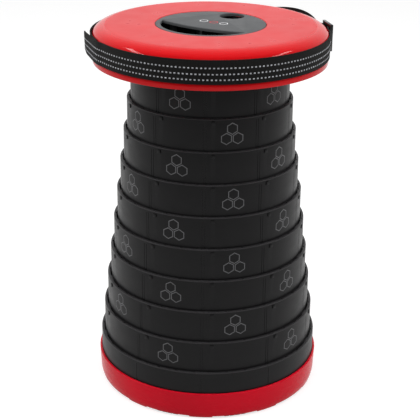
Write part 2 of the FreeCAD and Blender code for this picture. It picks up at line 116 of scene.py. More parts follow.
class StoolColours(bpy.types.PropertyGroup):
    """Colours of the visible finishes."""
    seat_red: colour_property("Seat red", (0.6, 0.003, 0.006), "Glossy moulded seat")
    base_red: colour_property("Base red", (0.68, 0.005, 0.02), "Moulded base tray")
    ring_black: colour_property("Ring black", (0.0075, 0.0072, 0.0076), "Moulded rings")
    insert_grey: colour_property("Insert grey", (0.08, 0.083, 0.086), "Plate in the seat")
    cup_black: colour_property("Cup black", (0.008, 0.008, 0.009), "Recess under the grips")
    web_black: colour_property("Webbing black", (0.0067, 0.0062, 0.006), "Yarn of the strap")
    thread_silver: colour_property("Reflective thread", (0.46, 0.47, 0.5), "Stitch rows on the strap")
    print_grey: colour_property("Printed line", (0.13, 0.13, 0.135), "Motif printed on the rings")
    print_white: colour_property("Printed white", (0.72, 0.72, 0.74), "Motif printed on the seat's plate")
    print_red: colour_property("Printed red", (0.55, 0.02, 0.03), "Accent of the seat plate's motif")
    slider_black: colour_property("Slider black", (0.012, 0.012, 0.013), "Glossy slider of the strap")
    screw_zinc: colour_property("Zinc", (0.5, 0.5, 0.52), "Screws")
    foot_black: colour_property("Foot rubber", (0.014, 0.014, 0.014), "Rubber pads")


def sizes():
    return bpy.context.scene.stool_sizes


def colours():
    return bpy.context.scene.stool_colours


def ring_radius(number):
    """Outer radius of a ring; number 0 is the collar under the seat."""
    return sizes().collar_radius + number * sizes().ring_step


def ring_bore(number):
    """Inner radius of a ring's wall."""
    return ring_radius(number) - sizes().ring_wall


def hub_radius():
    """Outer radius of the seat's hub round the plate."""
    return sizes().insert_radius + STOOL_OT_seat.insert_gap + STOOL_OT_seat.hub_wall


def direction(azimuth):
    """Unit vector that points away from the axis."""
    angle = math.radians(azimuth)
    return Vector((math.sin(angle), -math.cos(angle), 0.0))


def place(radius, azimuth, z=0.0):
    """Point at a radius, an azimuth and a height."""
    return direction(azimuth) * radius + Vector((0.0, 0.0, z))


def angle_of(length, radius):
    """Angle in degrees that a length covers on a circle."""
    return math.degrees(length / radius)


# Mesh helpers

def deselect():
    bpy.ops.object.select_all(action="DESELECT")


def pick(*pieces):
    """Selects some pieces and nothing else; the first is the active one."""
    deselect()
    for piece in pieces:
        piece.select_set(True)
    bpy.context.view_layer.objects.active = pieces[0]


def edit(piece, select="SELECT"):
    """Opens a piece in edit mode with all or nothing selected."""
    pick(piece)
    bpy.ops.object.mode_set(mode="EDIT")
    bpy.ops.mesh.select_mode(type="VERT")
    bpy.ops.mesh.select_all(action=select)


def leave_edit():
    bpy.ops.object.mode_set(mode="OBJECT")


def edit_where(piece, kind, test):
    """Opens a piece in edit mode with the vertices, edges or polygons selected that pass a test."""
    edit(piece, "DESELECT")
    leave_edit()
    for element in getattr(piece.data, kind):
        element.select = test(element)
    modes = tuple(kind == each for each in ("vertices", "edges", "polygons"))
    bpy.context.tool_settings.mesh_select_mode = modes
    bpy.ops.object.mode_set(mode="EDIT")


def edit_edges(piece, test):
    """Opens a piece in edit mode with the edges selected whose two ends pass a test."""
    edit_where(piece, "edges", lambda line: test(
        line, *(piece.data.vertices[index].co for index in line.vertices)))


def named(piece, name):
    piece.name = name
    piece.data.name = name
    return piece


def settle(*pieces):
    """Moves the place, turn and size of each piece into its mesh."""
    pick(*pieces)
    bpy.ops.object.transform_apply(location=True, rotation=True, scale=True)
    return pieces[0]


def turned(piece, angle):
    """Turns a piece about the Z axis, in degrees."""
    piece.rotation_euler.z = math.radians(angle)
    return settle(piece)


def moved(piece, offset):
    piece.location = offset
    return settle(piece)


def traced(name, points, closed=True, filled=False):
    """Starts a piece as one vertex and extrudes it through (radius, height) points in the XZ plane."""
    deselect()
    start = Vector((points[0][0], 0.0, points[0][1]))
    bpy.ops.mesh.primitive_plane_add(size=MM, location=start)
    piece = named(bpy.context.object, name)
    edit(piece)
    bpy.ops.mesh.merge(type="CENTER")
    for (r0, z0), (r1, z1) in zip(points, points[1:]):
        bpy.ops.mesh.extrude_region_move(TRANSFORM_OT_translate={"value": (r1 - r0, 0.0, z1 - z0)})
    if closed:
        bpy.ops.mesh.select_all(action="SELECT")
        bpy.ops.mesh.edge_face_add()
    if closed and not filled:
        bpy.ops.mesh.delete(type="ONLY_FACE")
    leave_edit()
    return settle(piece)


def spun(name, points, steps, angle=360.0, azimuth=0.0):
    """Spins a profile about the Z axis; a part turn is capped and centred on the azimuth.

    A profile that starts and ends on the axis is closed by its two poles, and any other by a last side.
    """
    piece = traced(name, points, closed=points[0][0] > 0)
    edit(piece)
    bpy.ops.mesh.spin(steps=steps, angle=math.radians(angle), center=(0, 0, 0), axis=(0, 0, 1))
    bpy.ops.mesh.select_all(action="SELECT")
    bpy.ops.mesh.remove_doubles(threshold=WELD)
    if angle < 360.0:
        bpy.ops.mesh.fill_holes(sides=0)
        bpy.ops.mesh.select_all(action="SELECT")
    bpy.ops.mesh.normals_make_consistent(inside=False)
    leave_edit()
    if angle < 360.0:
        middle = sum((vertex.co for vertex in piece.data.vertices), Vector())
        turned(piece, azimuth - math.degrees(math.atan2(middle.x, -middle.y)))
    return piece


def sector(name, inner, outer, low, high, azimuth, angle, steps=3):
    """Block between two radii and two heights, centred on an azimuth."""
    return spun(name, [(inner, low), (outer, low), (outer, high), (inner, high)], steps, angle, azimuth)


def hoop(name, inner, outer, low, high):
    """Whole ring between two radii and two heights."""
    return sector(name, inner, outer, low, high, 0.0, 360.0, SPIN_STEPS // 2)


def slab(name, points, thickness, azimuth):
    """Upright slab with a (radius, height) outline, centred on an azimuth."""
    piece = traced(name, points, filled=True)
    edit(piece)
    bpy.ops.mesh.extrude_region_move(TRANSFORM_OT_translate={"value": (0.0, thickness, 0.0)})
    bpy.ops.mesh.select_all(action="SELECT")
    bpy.ops.transform.translate(value=(0.0, -thickness / 2, 0.0))
    bpy.ops.mesh.normals_make_consistent(inside=False)
    leave_edit()
    return turned(piece, azimuth - 90.0)


def post(name, radius, low, high, centre, sides=48):
    """Upright cylinder over a point of the plan."""
    deselect()
    bpy.ops.mesh.primitive_cylinder_add(vertices=sides, radius=radius, depth=high - low,
                                        location=(centre.x, centre.y, (low + high) / 2))
    return settle(named(bpy.context.object, name))


def block(name, size, centre, azimuth=0.0):
    """A block with its sides along the tangent, the radius and the height at an azimuth."""
    deselect()
    bpy.ops.mesh.primitive_cube_add(size=1.0, location=centre, rotation=(0, 0, math.radians(azimuth)))
    piece = named(bpy.context.object, name)
    piece.scale = size
    return settle(piece)


def spaced(start, end, steps):
    """Values from a start to an end at equal steps, both of them included."""
    return [start + (end - start) * index / steps for index in range(steps + 1)]


def arc(centre, radius, start, end, steps):
    """Points of an arc in the profile plane, angles in degrees from +radius towards +height."""
    angles = [math.radians(angle) for angle in spaced(start, end, steps)]
    return [(centre[0] + radius * math.cos(angle), centre[1] + radius * math.sin(angle)) for angle in angles]


def eased(first, second, third, fourth, steps):
    """Points of a cubic curve from the first to the fourth point, which the other two pull."""
    points = []
    for t in spaced(0, 1, steps):
        shares = ((1 - t) ** 3, 3 * t * (1 - t) ** 2, 3 * t * t * (1 - t), t ** 3)
        pulls = list(zip(shares, (first, second, third, fourth)))
        points.append(tuple(sum(share * pull[axis] for share, pull in pulls) for axis in (0, 1)))
    return points


def copied(piece, name):
    """A copy with its own mesh."""
    twin = piece.copy()
    twin.data = piece.data.copy()
    bpy.context.scene.collection.objects.link(twin)
    return named(twin, name)


def repeated(piece, count):
    """The piece and its copies at equal steps round the Z axis."""
    copies = [piece] + [copied(piece, f"{piece.name}_{index}") for index in range(1, count)]
    for index, twin in enumerate(copies):
        twin.rotation_euler.z = TURN / count * index
    settle(*copies)
    return copies


def joined(pieces, name):
    """Joins several meshes into one piece."""
    pick(*pieces)
    if len(pieces) > 1:
        bpy.ops.object.join()
    return named(bpy.context.object, name)


def apply_modifier(piece, kind, **settings):
    """Adds a modifier with its settings and applies it."""
    pick(piece)
    modifier = piece.modifiers.new(kind.title(), kind)
    for key, value in settings.items():
        setattr(modifier, key, value)
    bpy.ops.object.modifier_apply(modifier=modifier.name)
    return piece


def lined_up(piece, count, pitch, **settings):
    """Repeats a piece along +X at a pitch."""
    return apply_modifier(piece, "ARRAY", count=count, use_relative_offset=False, use_constant_offset=True,
                          constant_offset_displace=(pitch, 0, 0), **settings)


def carved(piece, tools, operation="DIFFERENCE"):
    """Cuts several tools out of a piece, or welds them on, and removes them."""
    tool = joined(tools, "tool")
    apply_modifier(piece, "BOOLEAN", object=tool, operation=operation, solver="EXACT",
                   use_self=operation == "UNION")
    bpy.data.objects.remove(tool)
    return piece


def bevelled(piece, width, segments=2, angle=SMOOTH_ANGLE):
    return apply_modifier(piece, "BEVEL", width=width, segments=segments, limit_method="ANGLE",
                          angle_limit=math.radians(angle))


def smooth(piece, angle=SMOOTH_ANGLE):
    pick(piece)
    bpy.ops.object.shade_smooth_by_angle(angle=math.radians(angle))
    return piece


def finish_piece(piece, material, body, slot, *nodes):
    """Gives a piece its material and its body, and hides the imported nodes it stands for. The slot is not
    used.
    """
    piece.data.materials.clear()
    piece.data.materials.append(material)
    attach(piece, body)
    if nodes:
        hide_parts(*nodes)
    return piece


def dress(node, material):
    """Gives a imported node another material."""
    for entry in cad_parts[node].material_slots:
        entry.material = material


# Materials

class NodeCalls:
    """Short calls for the nodes of a material or of the world."""

    def __init__(self, tree):
        self.nodes = tree.nodes
        self.links = tree.links
        self.coordinates = self.add("ShaderNodeTexCoord")

    def feed(self, socket, value):
        """Gives a socket another node's output, a colour or a number."""
        if isinstance(value, bpy.types.NodeSocket):
            self.links.new(value, socket)
        else:
            socket.default_value = (*value, 1.0) if isinstance(value, tuple) else value

    def add(self, kind, *inputs, **settings):
        """Adds a node of a kind, sets it up and feeds its first inputs."""
        node = self.nodes.new(kind)
        for key, value in settings.items():
            setattr(node, key, value)
        for socket, value in zip(node.inputs, inputs):
            self.feed(socket, value)
        return node

    def split(self, output):
        """The three parts of a coordinate."""
        return self.add("ShaderNodeSeparateXYZ", self.coordinates.outputs[output]).outputs

    def stretched(self, stretch):
        """The object's own coordinates, scaled along each axis."""
        node = self.add("ShaderNodeMapping", self.coordinates.outputs["Object"])
        node.inputs["Scale"].default_value = stretch
        return node.outputs[0]

    def noise(self, scale, detail=3.0, stretch=(1.0, 1.0, 1.0)):
        """Noise over the object's own coordinates, in cells per metre."""
        node = self.add("ShaderNodeTexNoise", self.stretched(stretch))
        node.inputs["Scale"].default_value = scale
        node.inputs["Detail"].default_value = detail
        return node.outputs["Fac"]

    def radius(self):
        """Distance from the Z axis."""
        node = self.add("ShaderNodeVectorMath", self.stretched((1.0, 1.0, 0.0)), operation="LENGTH")
        return node.outputs["Value"]

    def ranged(self, value, low, high, to_low, to_high):
        """Maps a value from one range to another."""
        return self.add("ShaderNodeMapRange", value, low, high, to_low, to_high).outputs["Result"]

    def mixed(self, factor, first, second, kind="RGBA"):
        """Mixes two colours, or two numbers when the kind is FLOAT."""
        node = self.add("ShaderNodeMix", factor, data_type=kind)
        start, result = (6, 2) if kind == "RGBA" else (2, 0)
        self.feed(node.inputs[start], first)
        self.feed(node.inputs[start + 1], second)
        return node.outputs[result]

    def maths(self, operation, first, second=0.0):
        """One Math node on sockets or numbers."""
        return self.add("ShaderNodeMath", first, second, operation=operation).outputs[0]

    def waves(self, value, pitch):
        """Sine waves over a length, at a pitch in metres."""
        return self.maths("SINE", self.maths("MULTIPLY", value, TURN / pitch))

    def seen(self, *kinds):
        """1 for rays of the kinds named and 0 for all others."""
        path = self.add("ShaderNodeLightPath")
        seen = path.outputs[kinds[0]]
        for kind in kinds[1:]:
            seen = self.maths("MAXIMUM", seen, path.outputs[kind])
        return seen


class Finish(NodeCalls):
    """A node material with a Principled shader."""

    def __init__(self, name, colour, roughness):
        self.material = bpy.data.materials.get(name) or bpy.data.materials.new(name)
        self.material.use_nodes = True
        self.material.node_tree.nodes.clear()
        super().__init__(self.material.node_tree)
        self.shader = self.add("ShaderNodeBsdfPrincipled")
        self.output = self.add("ShaderNodeOutputMaterial", self.shader.outputs[0])
        self.constants(Roughness=roughness)
        self.shader.inputs["Base Color"].default_value = (*colour, 1.0)

    def constants(self, **values):
        """Numbers on the shader's own sockets; a socket's name has underscores for its spaces."""
        for name, value in values.items():
            self.shader.inputs[name.replace("_", " ")].default_value = value

    def drift(self, colour, scale, darker, lighter):
        """Drifts between a darker and a lighter shade of a colour, in cells per metre."""
        share = self.ranged(self.noise(scale, 2.0), 0.35, 0.65, 0.0, 1.0)
        return self.mixed(share, scaled(colour, darker), scaled(colour, lighter))

    def colour(self, socket):
        self.links.new(socket, self.shader.inputs["Base Color"])

    def roughness(self, socket):
        self.links.new(socket, self.shader.inputs["Roughness"])

    def bump(self, height, distance, strength=1.0, over=None):
        """Adds relief of a real depth in metres, over an earlier relief if one is given."""
        node = self.add("ShaderNodeBump")
        node.inputs["Strength"].default_value = strength
        node.inputs["Distance"].default_value = distance
        self.links.new(height, node.inputs["Height"])
        if over is not None:
            self.links.new(over, node.inputs["Normal"])
        self.links.new(node.outputs[0], self.shader.inputs["Normal"])
        return node.outputs[0]


def scaled(colour, factor):
    return tuple(min(1.0, part * factor) for part in colour)


# Material name, roughness, depth of the grain in mm, grains per metre and specular level by colour
MOULDINGS = {
    "base_red": ("base_red_plastic", 0.26, 0.02, 1800.0, 0.09),
    "ring_black": ("ring_black_plastic", 0.38, 0.03, 2200.0, 0.14),
    "insert_grey": ("insert_grey_plastic", 0.46, 0.03, 2600.0, 0.1),
    "cup_black": ("cup_black_plastic", 0.25, 0.015, 1500.0, 0.5),
    "foot_black": ("foot_rubber", 0.8, 0.05, 1400.0, 0.25),
    "slider_black": ("slider_black_plastic", 0.22, 0.01, 1500.0, 0.5),
    "print_grey": ("ring_print", 0.5, 0.01, 3000.0, 0.3),
    "print_white": ("plate_print_white", 0.5, 0.01, 3000.0, 0.3),
    "print_red": ("plate_print_red", 0.5, 0.01, 3000.0, 0.3),
}


def moulded(shade, painted_highlight_mask=None):
    """Moulded plastic: a slight drift of colour, uneven gloss, a fine grain and, where a mask is given, a
    painted highlight in a lighter shade of the colour.
    """
    name, roughness, depth, grains, specular = MOULDINGS[shade]
    colour = getattr(colours(), shade)
    depth *= MM
    finish = Finish(name, colour, roughness)
    tint = finish.drift(colour, 9.0, 0.93, 1.07)
    # Painted highlight: a much lighter shade of the colour where the mask is 1
    if painted_highlight_mask:
        tint = finish.mixed(painted_highlight_mask(finish), tint, scaled(colour, PAINTED_HIGHLIGHT_TINT))
    finish.colour(tint)
    wear = finish.noise(60.0, 6.0, (1.0, 1.0, 2.5))
    finish.roughness(finish.ranged(wear, 0.3, 0.7, roughness - 0.035, roughness + 0.05))
    relief = finish.bump(finish.noise(grains, 2.0), depth)
    finish.bump(finish.noise(grains * 0.22, 1.0), depth * 1.6, 0.6, relief)
    finish.constants(Specular_IOR_Level=specular)
    return finish.material


def seat_finish():
    """Moulded plastic that is finely grained on the seat's flat top and polished from its shoulder on."""
    colour = colours().seat_red
    finish = Finish("seat_red_plastic", colour, 0.1)
    edge = sizes().seat_radius - STOOL_OT_seat.shoulder
    polished = edge + 0.8 * MM
    radius = finish.radius()
    finish.colour(finish.drift(colour, 9.0, 0.95, 1.05))
    gloss = finish.ranged(radius, edge, polished, 0.3, 0.07)
    wear = finish.ranged(finish.noise(60.0, 6.0), 0.3, 0.7, 0.9, 1.12)
    finish.roughness(finish.maths("MULTIPLY", gloss, wear))
    grained = finish.ranged(radius, edge, polished, 1.0, 0.1)
    finish.bump(finish.maths("MULTIPLY", finish.noise(1100.0, 2.0), grained), 0.008 * MM)
    finish.constants(Specular_IOR_Level=0.15)
    return finish.material


def webbing():
    """Woven webbing: warp and weft ribs over the piece's own UV map, which is in metres, with painted light
    on the ribs' ridges and painted shade in their hollows.
    """
    colour = colours().web_black
    finish = Finish("strap_webbing", colour, 0.78)
    along, across, _ = finish.split("UV")
    weft = finish.waves(along, 1.5 * MM)
    warp = finish.waves(across, 1.9 * MM)
    ribs = finish.maths("ADD", finish.maths("MULTIPLY", weft, 0.45), finish.maths("MULTIPLY", weft, warp))
    relief = finish.bump(ribs, 0.12 * MM)
    finish.bump(finish.noise(2600.0, 2.0), 0.05 * MM, 0.7, relief)
    # Painted light and shade: the colour follows the ribs' relief, lighter on the ridges and darker in the
    # hollows
    lit = finish.ranged(ribs, -1.2, 1.4, 0.0, 1.0)
    finish.colour(finish.mixed(lit, scaled(colour, 0.45), scaled(colour, 2.1)))
    finish.constants(Specular_IOR_Level=0.12, Sheen_Weight=0.02, Sheen_Roughness=0.5)
    return finish.material


def twisted_thread():
    """Reflective thread: fine slanted strands, bright and a little uneven."""
    colour = colours().thread_silver
    finish = Finish("strap_thread", colour, 0.42)
    along, across, _ = finish.split("UV")
    finish.bump(finish.waves(finish.maths("ADD", along, across), 0.5 * MM), 0.04 * MM)
    finish.colour(finish.drift(colour, 420.0, 0.78, 1.2))
    return finish.material


def zinc():
    """Zinc plated steel with fine turning marks."""
    finish = Finish("screw_zinc", colours().screw_zinc, 0.32)
    finish.constants(Metallic=1.0)
    marks = finish.noise(1800.0, 2.0, (1.0, 1.0, 8.0))
    finish.roughness(finish.ranged(marks, 0.3, 0.7, 0.26, 0.42))
    finish.bump(marks, 0.02 * MM)
    return finish.material


def painted_rim_highlight(finish):
    """Mask of a painted highlight: 1 in a thin line along each ring's rim; the heights of the rims repeat by
    the rings' rise.
    """
    above = finish.maths("SUBTRACT", finish.split("Object")[2], node_high("ring_10") + 0.05 * MM)
    share = finish.maths("FRACT", finish.maths("DIVIDE", above, STOOL_OT_rings.rise))
    line = 0.85 * MM / STOOL_OT_rings.rise
    return finish.ranged(share, 1.0 - 1.2 * line, 1.0 - line, 0.0, 1.0)


# Pieces

class StoolOperator(bpy.types.Operator):
    """Shared settings of the operators below."""
    bl_options = {"REGISTER", "UNDO"}

    @classmethod
    def poll(cls, context):
        return context.mode == "OBJECT"


class STOOL_OT_seat(StoolOperator):
    """Models the glossy seat with its soft shoulder, side wall and rim bead"""
    bl_idname = "stool.seat"
    bl_label = "Seat"

    plate = 3.0 * MM
    wall = 2.2 * MM
    shoulder = 13.5 * MM
    shoulder_drop = 8.7 * MM
    flat_margin = 12.0 * MM
    shoulder_run = 4.0 * MM
    shoulder_pull = 5.5 * MM
    side_run = 2.0 * MM
    side_pull = 4.2 * MM
    bead_height = 5.6 * MM
    bead_proud = 0.4 * MM
    hub_wall = 5.2 * MM
    ledge = 2.4 * MM
    hub_height = 8.0 * MM
    hub_gap = 1.0 * MM
    insert_gap = 0.4 * MM
    insert_depth = 3.2 * MM
    edge = 0.35 * MM
    rib_depth = 8.7 * MM
    rib_thickness = 1.6 * MM
    ribs = 10
    boss_radius = 4.5 * MM
    bosses = 5

    def outline(self, top, low):
        """Closed profile from the insert's rebate over the shoulder and back under the plate."""
        radius = sizes().seat_radius
        flat = radius - self.shoulder
        side_top = top - self.shoulder_drop
        under = top - self.plate
        rebate = sizes().insert_radius + self.insert_gap
        hub = hub_radius()
        bead = radius + self.bead_proud
        bead_top = low + self.bead_height
        lead = 2 * self.edge
        points = [(rebate, top - lead), (rebate + lead, top), (flat - self.flat_margin, top)]
        points += eased((flat - self.shoulder_run, top), (flat + self.shoulder_pull, top),
                        (radius, side_top + self.side_pull), (radius, side_top - self.side_run), steps=20)
        points += arc((radius + self.edge, bead_top + self.edge), self.edge, 180, 270, steps=3)
        points += arc((bead - 2 * self.edge, bead_top - self.edge), self.edge, 90, 0, steps=3)
        points += arc((bead - 2 * self.edge, low + 2 * self.edge), 2 * self.edge, 0, -90, steps=4)
        points += [(radius - self.wall, low), (radius - self.wall, side_top - self.wall / 2)]
        points += [(flat - self.wall / 2, under), (hub, under), (hub, top - self.hub_height)]
        points += [(rebate - self.ledge, top - self.hub_height)]
        return points + [(rebate - self.ledge, top - self.insert_depth), (rebate, top - self.insert_depth)]

    def underside(self, top):
        """Ribs and screw bosses under the plate, sunk a little into it."""
        under = top - self.plate
        joint = top - self.plate / 2
        low = under - self.rib_depth
        bore = sizes().seat_radius - self.wall
        collar = sizes().collar_radius
        hub = hub_radius()
        inside = ring_bore(0)
        skirt = bore + self.wall / 2
        skirt_top = top - self.shoulder_drop - self.wall / 2
        outer = [(collar + 2 * SLIDE_GAP, low), (skirt, low), (skirt, skirt_top),
                 (sizes().seat_radius - self.shoulder, joint), (collar + 2 * SLIDE_GAP, joint)]
        inner = [(hub - self.hub_wall / 2, low + SLIDE_GAP), (inside - SLIDE_GAP, low + SLIDE_GAP),
                 (inside - SLIDE_GAP, joint), (hub - self.hub_wall / 2, joint)]
        ring = (collar + bore) / 2
        half = self.rib_thickness / 2
        pieces = []
        for points in (outer, inner):
            pieces += repeated(slab("rib", points, self.rib_thickness, 180.0 / self.ribs), self.ribs)
        pieces.append(hoop("ring_rib", ring - half, ring + half, low, joint))
        middle = place((hub + self.hub_gap + inside) / 2, 0)
        boss = post("boss", self.boss_radius, low - SLIDE_GAP, joint, middle)
        return pieces + repeated(boss, self.bosses)

    def execute(self, context):
        top = node_high("seat_shell")
        seat = spun("seat_disc", self.outline(top, node_low("seat_shell")), SPIN_STEPS)
        carved(seat, self.underside(top), "UNION")
        finish_piece(smooth(seat), seat_finish(), "seat", "seat_red", "seat_shell")
        return {"FINISHED"}


class STOOL_OT_insert(StoolOperator):
    """Models the grey plate with its hand slot, finger hole and printed motif"""
    bl_idname = "stool.insert"
    bl_label = "Grip plate"

    thickness = 3.2 * MM
    sunk = 0.1 * MM
    rim_edge = 0.5 * MM
    handle_azimuth = -32.0
    slot_radius = 54.0 * MM
    slot_depth = 30.5 * MM
    slot_inner_radius = 176.0 * MM
    slot_corner = 5.5 * MM
    grip_edge = 1.1 * MM
    hole_radius = 13.5 * MM
    hole_reach = 43.8 * MM
    post_radius = 4.0 * MM
    post_circle = 45.3 * MM
    post_turns = (84.0, 130.0)
    cell_radius = 5.2 * MM
    cell_line = 0.9 * MM
    cell_pitch = 12.5 * MM
    motif_reach = -6.0 * MM
    tool_reach = 20.0 * MM

    def hand_slot(self, low, high):
        """Crescent tool between the slot's two arcs, with rounded ends."""
        plug = post("slot", self.slot_radius, low, high, Vector(), sides=256)
        reach = self.slot_radius - self.slot_depth - self.slot_inner_radius
        bite = post("bite", self.slot_inner_radius, low - self.thickness, high + self.thickness,
                    place(reach, self.handle_azimuth), sides=512)
        return bevelled(carved(plug, [bite]), self.slot_corner, segments=6, angle=SHARP_ANGLE)

    def round_grips(self, plate, top):
        """Rounds the top edges of the slot and of the hole, and less the plate's rim."""
        rim = sizes().insert_radius - MM
        for width, inner, outer in ((self.grip_edge, 0.0, rim), (self.rim_edge, rim, 2 * rim)):
            walls = [face for face in plate.data.polygons if abs(face.normal.z) < WALL_NORMAL]
            upright = {key for face in walls for key in face.edge_keys}
            edit_edges(plate, lambda line, *ends: line.key in upright and all(
                abs(end.z - top) < WELD and inner < end.xy.length < outer for end in ends))
            bpy.ops.mesh.bevel(offset=width, segments=4, affect="EDGES")
            leave_edit()
        return plate

    def add_motif(self, top):
        """Three cells printed between the two grips, the middle one red."""
        across = direction(self.handle_azimuth + 90.0)
        out = direction(self.handle_azimuth)
        white, red = [], []
        for index, group in ((-1, white), (0, red), (1, white)):
            cell = cell_outline("cell", self.cell_radius, self.cell_line)
            lift = Vector((0, 0, top - self.sunk / 2))
            group.append(moved(cell, across * index * self.cell_pitch + out * self.motif_reach + lift))
        for shade, cells in (("print_white", white), ("print_red", red)):
            motif = joined(cells, f"plate_{shade}")
            apply_modifier(motif, "SOLIDIFY", thickness=self.sunk, offset=0.0)
            finish_piece(motif, moulded(shade), "seat", "insert_grey")

    def execute(self, context):
        top = node_high("seat_shell")
        face = top - self.sunk
        low = top - self.thickness
        plate = post("grip_plate", sizes().insert_radius, low, face, Vector(), sides=SPIN_STEPS)
        finger = place(-self.hole_reach, self.handle_azimuth)
        tools = [self.hand_slot(low - self.tool_reach, top + self.tool_reach),
                 post("hole", self.hole_radius, low - MM, top + MM, finger, sides=96)]
        carved(plate, tools)
        self.round_grips(plate, face)
        floor = node_low("handle_cup") + STOOL_OT_cup.wall
        turns = [side * turn for turn in self.post_turns for side in (-1, 1)]
        centres = [place(self.post_circle, self.handle_azimuth + turn) for turn in turns]
        posts = [post("leg", self.post_radius, floor, low + MM, centre) for centre in centres]
        carved(plate, posts, "UNION")
        finish_piece(smooth(plate), moulded("insert_grey"), "seat", "insert_grey", "seat_insert")
        self.add_motif(top)
        return {"FINISHED"}


def cell_outline(name, radius, line):
    """Flat outline of one six-sided cell in the XY plane, round the origin."""
    deselect()
    bpy.ops.mesh.primitive_circle_add(vertices=6, radius=radius, fill_type="NGON", location=(0, 0, 0))
    cell = named(bpy.context.object, name)
    edit(cell)
    bpy.ops.mesh.select_mode(type="EDGE")
    bpy.ops.mesh.subdivide(number_cuts=5)
    bpy.ops.mesh.select_mode(type="FACE")
    bpy.ops.mesh.select_all(action="SELECT")
    bpy.ops.mesh.inset(thickness=line)
    bpy.ops.mesh.delete(type="FACE")
    leave_edit()
    return cell


class STOOL_OT_rings(StoolOperator):
    """Models the ten nested rings, with their seams, pips and twist locks"""
    bl_idname = "stool.rings"
    bl_label = "Rings"

    height = 45.9 * MM
    rise = 34.75 * MM
    edge = 0.6 * MM
    groove_width = 0.5 * MM
    groove_depth = 0.5 * MM
    groove_offset = 1.35 * MM
    groove_margin = 3.0 * MM
    pip_offset = 5.4
    pip_width = 4.0 * MM
    pip_height = 3.8 * MM
    pip_drop = 4.0 * MM
    pip_proud = 1.0 * MM
    pip_edge = 0.35 * MM
    notch_offset = 5.0
    notch_width = 3.0 * MM
    pad_angle = 6.0
    key_angle = 8.0
    ledge_angle = 7.0
    ledge_thickness = 2.5 * MM
    stop_angle = 1.6
    stop_overlap = 0.001
    turn_gap_angle = 1.2

    def sleeve(self, number, top, bottom):
        """Wall of a ring with its inward lip."""
        radius = ring_radius(number)
        bore = ring_bore(number)
        lip = ring_radius(number - 1) + self.pip_proud + SLIDE_GAP
        flange = sizes().ring_flange
        points = [(bore, bottom), (radius, bottom)]
        points += arc((radius - self.edge, top - self.edge), self.edge, 0, 90, steps=4)
        points += [(lip + self.edge / 3, top), (lip, top - self.edge / 3), (lip, top - flange),
                   (bore, top - flange)]
        return spun(f"ring_{number:02d}_sleeve", points, SPIN_STEPS)

    def cuts(self, number, top, bottom):
        """Fine grooves at the panel seams and notches in the lip."""
        radius = ring_radius(number)
        bore = ring_bore(number)
        shift = angle_of(self.groove_offset, radius)
        width = angle_of(self.groove_width, radius)
        tools = []
        for side in ((0,) if number == RINGS else (-shift, shift)):
            groove = sector("groove", radius - self.groove_depth, radius + MM, bottom - MM,
                            top - self.groove_margin, SEAM_AZIMUTH + side, width, steps=1)
            tools += repeated(groove, PANELS)
        reach = ring_radius(number - 1) + SLIDE_GAP
        for side in (-self.notch_offset, self.notch_offset):
            notch = sector("notch", reach, bore, top - sizes().ring_flange - MM, top + MM,
                           PANEL_MIDDLE + side, angle_of(self.notch_width, bore), steps=2)
            tools += repeated(notch, PANELS)
        return tools

    def pips(self, number, top):
        """Small grip under the top edge of each panel."""
        sunk = sizes().ring_wall / 2
        middle = ring_radius(number) + (self.pip_proud - sunk) / 2
        azimuth = SEAM_AZIMUTH + self.pip_offset
        pip = block("pip", (self.pip_width, self.pip_proud + sunk, self.pip_height),
                    place(middle, azimuth, top - self.pip_drop), azimuth)
        return repeated(bevelled(pip, self.pip_edge), PANELS)

    def locks(self, number, top):
        """Guide pads on the lip, and the ledges and stops that a smaller ring's keys turn on to."""
        bore = ring_bore(number)
        sunk = bore + sizes().ring_wall / 2
        reach = ring_radius(number - 1) + SLIDE_GAP
        lip = top - sizes().ring_flange
        ledge_top = top - (self.height - self.rise) - SLIDE_GAP
        ledge_low = ledge_top - self.ledge_thickness
        ledge = PANEL_MIDDLE + (self.key_angle + self.ledge_angle) / 2 + self.turn_gap_angle
        stop = ledge + (self.ledge_angle + self.stop_angle) / 2 - self.stop_overlap
        forms = (("pad", reach, bore + MM, lip + MM / 2, top - MM / 4, SEAM_AZIMUTH, self.pad_angle),
                 ("ledge", reach, sunk, ledge_low, ledge_top, ledge, self.ledge_angle),
                 ("stop", reach + WELD, sunk + WELD, ledge_low + WELD, lip + MM, stop, self.stop_angle))
        return [part for form in forms for part in repeated(sector(*form), KEYS)]

    def keys(self, number, bottom):
        """Keys outside a ring's lower edge."""
        radius = ring_radius(number)
        reach = radius + sizes().ring_step - sizes().ring_wall - SLIDE_GAP
        high = bottom + self.height - self.rise - sizes().ring_flange - SLIDE_GAP
        return repeated(sector("key", radius - MM, reach, bottom, high, PANEL_MIDDLE, self.key_angle), KEYS)

    def execute(self, context):
        # The rings' black has a painted highlight along each rim
        material = moulded("ring_black", painted_rim_highlight)
        for number in range(1, RINGS + 1):
            node = f"ring_{number:02d}"
            top = node_high(node)
            bottom = node_low(node)
            ring = self.sleeve(number, top, bottom)
            carved(ring, self.cuts(number, top, bottom))
            added = self.locks(number, top)
            if number < RINGS:
                added += self.pips(number, top) + self.keys(number, bottom)
            carved(ring, added, "UNION")
            body = "base" if number == RINGS else f"{node}_body"
            finish_piece(smooth(ring), material, body, "ring_black", node)
        return {"FINISHED"}


